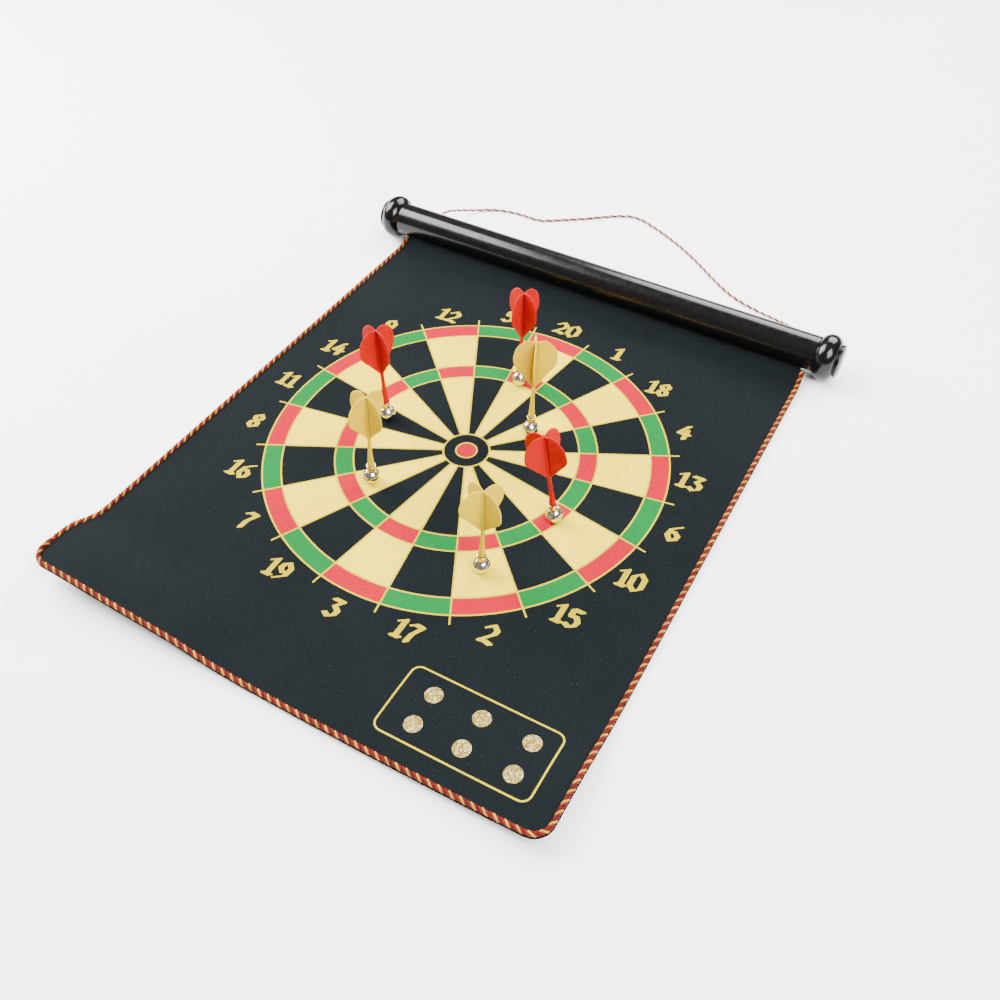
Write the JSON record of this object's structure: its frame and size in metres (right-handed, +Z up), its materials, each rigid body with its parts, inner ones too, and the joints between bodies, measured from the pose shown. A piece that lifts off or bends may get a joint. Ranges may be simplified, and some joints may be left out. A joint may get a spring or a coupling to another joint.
{
  "type": "magnetic dartboard",
  "caption": "Flexible cloth magnetic dartboard with a printed dial and twisted-cord edging, hung from a capped roller tube with a hanging cord, with magnet-footed darts standing on it.",
  "frame": {"origin": "on the floor under the middle of the bounding box of everything but the hanging cord, with the board lying open", "axes": "+X across the board to the right, +Y up the dial towards the roller tube, +Z up from the floor, out of the dial"},
  "size_m": [0.4066, 0.557, 0.0823],
  "materials": {
    "tube_plastic": "gloss black",
    "rod_metal": "drawn wire rod",
    "cloth": "fine ribbed cloth, black ground with a printed dial in cream, red, green and yellow",
    "back_cloth": "plain black cloth",
    "iron_sheet": "iron-filled flexible sheet, dull dark",
    "piping": "twisted cord, red, orange and gold",
    "cord": "twisted cord, red and white",
    "dart_chrome": "polished",
    "dart_brass": "polished pale brass",
    "magnet": "nickel-plated magnet",
    "flight_red": "bright red moulding with fine ribs",
    "flight_yellow": "bright yellow moulding with fine ribs"
  },
  "bodies": {
    "roller": {"roller_tube": "tube_plastic", "end_cap_left": "tube_plastic", "end_cap_right": "tube_plastic", "hem_rod": "rod_metal", "mat_hem": "back_cloth", "hanging_cord": "cord", "cord_knots": "cord"},
    "mat": {"mat_neck": "cloth", "neck_piping": "piping", "mat_back_cloth": "back_cloth", "mat_iron_sheet": "iron_sheet", "mat_front_cloth": "cloth", "mat_piping": "piping"},
    "tail_1": {"mat_strip_1": "cloth", "piping_strip_1": "piping"},
    "tail_2": {"mat_strip_2": "cloth", "piping_strip_2": "piping"},
    "tail_3": {"mat_strip_3": "cloth", "piping_strip_3": "piping"},
    "tail_4": {"mat_strip_4": "cloth", "piping_strip_4": "piping"},
    "tail_5": {"mat_strip_5": "cloth", "piping_strip_5": "piping"},
    "tail_6": {"mat_strip_6": "cloth", "piping_strip_6": "piping"},
    "tail_7": {"mat_strip_7": "cloth", "piping_strip_7": "piping"},
    "tail_8": {"mat_strip_8": "cloth", "piping_strip_8": "piping"},
    "tail_9": {"mat_strip_9": "cloth", "piping_strip_9": "piping"},
    "red_dart_1": {"red_dart_1_foot": "dart_chrome", "red_dart_1_magnet": "magnet", "red_dart_1_collar": "dart_brass", "red_dart_1_flight": "flight_red"},
    "red_dart_2": {"red_dart_2_foot": "dart_chrome", "red_dart_2_magnet": "magnet", "red_dart_2_collar": "dart_brass", "red_dart_2_flight": "flight_red"},
    "red_dart_3": {"red_dart_3_foot": "dart_chrome", "red_dart_3_magnet": "magnet", "red_dart_3_collar": "dart_brass", "red_dart_3_flight": "flight_red"},
    "yellow_dart_1": {"yellow_dart_1_foot": "dart_chrome", "yellow_dart_1_magnet": "magnet", "yellow_dart_1_collar": "dart_brass", "yellow_dart_1_flight": "flight_yellow"},
    "yellow_dart_2": {"yellow_dart_2_foot": "dart_chrome", "yellow_dart_2_magnet": "magnet", "yellow_dart_2_collar": "dart_brass", "yellow_dart_2_flight": "flight_yellow"},
    "yellow_dart_3": {"yellow_dart_3_foot": "dart_chrome", "yellow_dart_3_magnet": "magnet", "yellow_dart_3_collar": "dart_brass", "yellow_dart_3_flight": "flight_yellow"}
  },
  "joints": [
    {"name": "mat_lift", "type": "hinge", "parent": "roller", "child": "mat", "pos_m": [-0.00018, 0.19341, 0.00711], "axis": [-0.9999, 0.0169, 0], "range_deg": [0, 45]},
    {"name": "curl_1", "type": "hinge", "parent": "mat", "child": "tail_1", "pos_m": [0.0014, -0.112, 0.001], "axis": [-1, 0, 0], "range_deg": [0, 20]},
    {"name": "curl_2", "type": "hinge", "parent": "tail_1", "child": "tail_2", "pos_m": [0.0014, -0.1245, 0.001], "axis": [-1, 0, 0], "range_deg": [0, 26]},
    {"name": "curl_3", "type": "hinge", "parent": "tail_2", "child": "tail_3", "pos_m": [0.0014, -0.137, 0.001], "axis": [-1, 0, 0], "range_deg": [0, 32]},
    {"name": "curl_4", "type": "hinge", "parent": "tail_3", "child": "tail_4", "pos_m": [0.0014, -0.1495, 0.001], "axis": [-1, 0, 0], "range_deg": [0, 38]},
    {"name": "curl_5", "type": "hinge", "parent": "tail_4", "child": "tail_5", "pos_m": [0.0014, -0.162, 0.001], "axis": [-1, 0, 0], "range_deg": [0, 44]},
    {"name": "curl_6", "type": "hinge", "parent": "tail_5", "child": "tail_6", "pos_m": [0.0014, -0.1745, 0.001], "axis": [-1, 0, 0], "range_deg": [0, 50]},
    {"name": "curl_7", "type": "hinge", "parent": "tail_6", "child": "tail_7", "pos_m": [0.0014, -0.187, 0.001], "axis": [-1, 0, 0], "range_deg": [0, 58]},
    {"name": "curl_8", "type": "hinge", "parent": "tail_7", "child": "tail_8", "pos_m": [0.0014, -0.1995, 0.001], "axis": [-1, 0, 0], "range_deg": [0, 66]},
    {"name": "curl_9", "type": "hinge", "parent": "tail_8", "child": "tail_9", "pos_m": [0.0014, -0.212, 0.001], "axis": [-1, 0, 0], "range_deg": [0, 74]},
    {"name": "red_dart_1_pull", "type": "slide", "parent": "mat", "child": "red_dart_1", "axis": [0, 0, 1], "range_m": [0, 0.1]},
    {"name": "red_dart_2_pull", "type": "slide", "parent": "mat", "child": "red_dart_2", "axis": [0, 0, 1], "range_m": [0, 0.1]},
    {"name": "red_dart_3_pull", "type": "slide", "parent": "mat", "child": "red_dart_3", "axis": [0, 0, 1], "range_m": [0, 0.1]},
    {"name": "yellow_dart_1_pull", "type": "slide", "parent": "mat", "child": "yellow_dart_1", "axis": [0, 0, 1], "range_m": [0, 0.1]},
    {"name": "yellow_dart_2_pull", "type": "slide", "parent": "mat", "child": "yellow_dart_2", "axis": [0, 0, 1], "range_m": [0, 0.1]},
    {"name": "yellow_dart_3_pull", "type": "slide", "parent": "mat", "child": "yellow_dart_3", "axis": [0, 0, 1], "range_m": [0, 0.1]}
  ],
  "couplings": [
    {"joint": "curl_2", "follows": "curl_1", "ratio": 1.3},
    {"joint": "curl_3", "follows": "curl_1", "ratio": 1.6},
    {"joint": "curl_4", "follows": "curl_1", "ratio": 1.9},
    {"joint": "curl_5", "follows": "curl_1", "ratio": 2.2},
    {"joint": "curl_6", "follows": "curl_1", "ratio": 2.5},
    {"joint": "curl_7", "follows": "curl_1", "ratio": 2.9},
    {"joint": "curl_8", "follows": "curl_1", "ratio": 3.3},
    {"joint": "curl_9", "follows": "curl_1", "ratio": 3.7}
  ]
}
